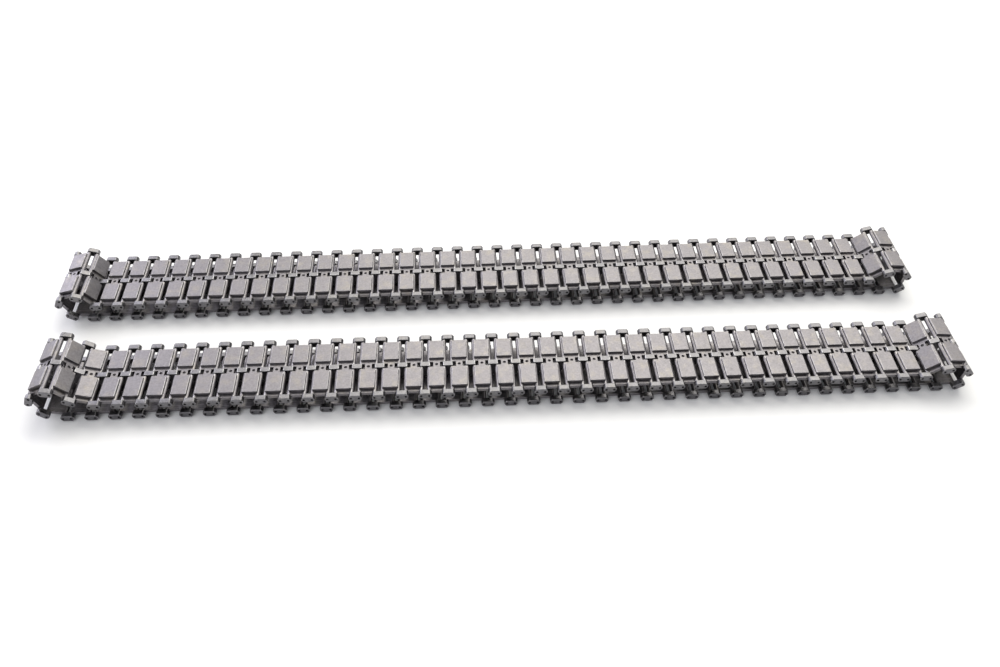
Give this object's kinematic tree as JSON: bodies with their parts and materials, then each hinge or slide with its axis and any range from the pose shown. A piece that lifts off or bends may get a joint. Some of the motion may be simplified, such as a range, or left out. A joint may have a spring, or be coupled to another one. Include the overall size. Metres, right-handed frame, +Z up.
{
  "type": "tank track pair",
  "caption": "Pair of double-pin metal track loops for a model tank, folded flat: padded shoes on pins, end connectors, centre connectors with guide horns, hinged to unroll",
  "frame": {"origin": "centre of the bounding box, on the ground under the pads", "axes": "+X along the tracks, +Y across them away from the near loop, +Z up"},
  "size_m": [0.4758, 0.112, 0.0231],
  "materials": {
    "shoe": "satin grey casting, lightly mottled",
    "connector": "satin grey casting with bright edges",
    "guide": "satin grey casting",
    "pin": "drawn steel, dull"
  },
  "bodies": {
    "floor_run": {"floor_run_shoes": "shoe", "floor_run_end_connectors": "connector", "floor_run_guides": "guide", "floor_run_pins": "pin"},
    "near_top": {"near_left_shoe_3": "shoe", "near_left_ends_3": "connector", "near_left_guide_3": "guide", "near_left_pins_3": "pin", "near_left_shoe_4": "shoe", "near_left_ends_4": "connector", "near_left_guide_4": "guide", "near_left_pins_4": "pin", "near_left_shoe_5": "shoe", "near_top_shoes": "shoe", "near_top_end_connectors": "connector", "near_top_guides": "guide", "near_top_pins": "pin", "near_right_shoe_1": "shoe"},
    "near_left_shoe_1": {"near_left_shoe_1": "shoe"},
    "near_left_link_1": {"near_left_ends_1": "connector", "near_left_guide_1": "guide", "near_left_pins_1": "pin"},
    "near_left_shoe_2": {"near_left_shoe_2": "shoe"},
    "near_left_link_2": {"near_left_ends_2": "connector", "near_left_guide_2": "guide", "near_left_pins_2": "pin"},
    "near_right_link_1": {"near_right_ends_1": "connector", "near_right_guide_1": "guide", "near_right_pins_1": "pin"},
    "near_right_shoe_2": {"near_right_shoe_2": "shoe"},
    "near_right_link_2": {"near_right_ends_2": "connector", "near_right_guide_2": "guide", "near_right_pins_2": "pin"},
    "near_right_shoe_3": {"near_right_shoe_3": "shoe"},
    "far_top": {"far_left_shoe_3": "shoe", "far_left_ends_3": "connector", "far_left_guide_3": "guide", "far_left_pins_3": "pin", "far_left_shoe_4": "shoe", "far_top_shoes": "shoe", "far_top_end_connectors": "connector", "far_top_guides": "guide", "far_top_pins": "pin", "far_right_shoe_1": "shoe"},
    "far_left_shoe_1": {"far_left_shoe_1": "shoe"},
    "far_left_link_1": {"far_left_ends_1": "connector", "far_left_guide_1": "guide", "far_left_pins_1": "pin"},
    "far_left_shoe_2": {"far_left_shoe_2": "shoe"},
    "far_left_link_2": {"far_left_ends_2": "connector", "far_left_guide_2": "guide", "far_left_pins_2": "pin"},
    "far_right_link_1": {"far_right_ends_1": "connector", "far_right_guide_1": "guide", "far_right_pins_1": "pin"},
    "far_right_shoe_2": {"far_right_shoe_2": "shoe"},
    "far_right_link_2": {"far_right_ends_2": "connector", "far_right_guide_2": "guide", "far_right_pins_2": "pin"},
    "far_right_shoe_3": {"far_right_shoe_3": "shoe"}
  },
  "joints": [
    {"name": "near_left_hinge_1", "type": "hinge", "parent": "floor_run", "child": "near_left_shoe_1", "pos_m": [-0.21707, -0.03603, 0.00235], "axis": [0, -1, 0], "range_deg": [0, 14.79]},
    {"name": "near_left_hinge_2", "type": "hinge", "parent": "near_left_shoe_1", "child": "near_left_link_1", "pos_m": [-0.22432, -0.03603, 0.00426], "axis": [0, -1, 0], "range_deg": [0, 27.51]},
    {"name": "near_left_hinge_3", "type": "hinge", "parent": "near_left_link_1", "child": "near_left_shoe_2", "pos_m": [-0.22728, -0.03603, 0.00696], "axis": [0, -1, 0], "range_deg": [0, 27.51]},
    {"name": "near_left_hinge_4", "type": "hinge", "parent": "near_left_shoe_2", "child": "near_left_link_2", "pos_m": [-0.22987, -0.03603, 0.014], "axis": [0, -1, 0], "range_deg": [0, 41.89]},
    {"name": "near_left_hinge_5", "type": "hinge", "parent": "near_left_link_2", "child": "near_top", "pos_m": [-0.22839, -0.03603, 0.01771], "axis": [0, -1, 0], "range_deg": [0, 41.89]},
    {"name": "near_right_hinge_1", "type": "hinge", "parent": "near_top", "child": "near_right_link_1", "pos_m": [0.22181, -0.03603, 0.01488], "axis": [0, -1, 0], "range_deg": [0, 21.28]},
    {"name": "near_right_hinge_2", "type": "hinge", "parent": "near_right_link_1", "child": "near_right_shoe_2", "pos_m": [0.22566, -0.03603, 0.01597], "axis": [0, -1, 0], "range_deg": [0, 21.28]},
    {"name": "near_right_hinge_3", "type": "hinge", "parent": "near_right_shoe_2", "child": "near_right_link_2", "pos_m": [0.23313, -0.03603, 0.01526], "axis": [0, -1, 0], "range_deg": [0, 45.95]},
    {"name": "near_right_hinge_4", "type": "hinge", "parent": "near_right_link_2", "child": "near_right_shoe_3", "pos_m": [0.23562, -0.03603, 0.01214], "axis": [0, -1, 0], "range_deg": [0, 45.95]},
    {"name": "far_left_hinge_1", "type": "hinge", "parent": "floor_run", "child": "far_left_shoe_1", "pos_m": [-0.22196, 0.03335, 0.00235], "axis": [0.0059, -1, 0], "range_deg": [0, 5.29]},
    {"name": "far_left_hinge_2", "type": "hinge", "parent": "far_left_shoe_1", "child": "far_left_link_1", "pos_m": [-0.22943, 0.03331, 0.00304], "axis": [0.0059, -1, 0], "range_deg": [0, 30.24]},
    {"name": "far_left_hinge_3", "type": "hinge", "parent": "far_left_link_1", "child": "far_left_shoe_2", "pos_m": [-0.23269, 0.03329, 0.00537], "axis": [0.0059, -1, 0], "range_deg": [0, 30.24]},
    {"name": "far_left_hinge_4", "type": "hinge", "parent": "far_left_shoe_2", "child": "far_left_link_2", "pos_m": [-0.23576, 0.03327, 0.01221], "axis": [0.0059, -1, 0], "range_deg": [0, 49.77]},
    {"name": "far_left_hinge_5", "type": "hinge", "parent": "far_left_link_2", "child": "far_top", "pos_m": [-0.23404, 0.03328, 0.01582], "axis": [0.0059, -1, 0], "range_deg": [0, 49.77]},
    {"name": "far_right_hinge_1", "type": "hinge", "parent": "far_top", "child": "far_right_link_1", "pos_m": [0.21691, 0.03596, 0.01488], "axis": [0.0059, -1, 0], "range_deg": [0, 21.28]},
    {"name": "far_right_hinge_2", "type": "hinge", "parent": "far_right_link_1", "child": "far_right_shoe_2", "pos_m": [0.22076, 0.03598, 0.01597], "axis": [0.0059, -1, 0], "range_deg": [0, 21.28]},
    {"name": "far_right_hinge_3", "type": "hinge", "parent": "far_right_shoe_2", "child": "far_right_link_2", "pos_m": [0.22822, 0.03602, 0.01526], "axis": [0.0059, -1, 0], "range_deg": [0, 45.95]},
    {"name": "far_right_hinge_4", "type": "hinge", "parent": "far_right_link_2", "child": "far_right_shoe_3", "pos_m": [0.23072, 0.03604, 0.01214], "axis": [0.0059, -1, 0], "range_deg": [0, 45.95]}
  ]
}
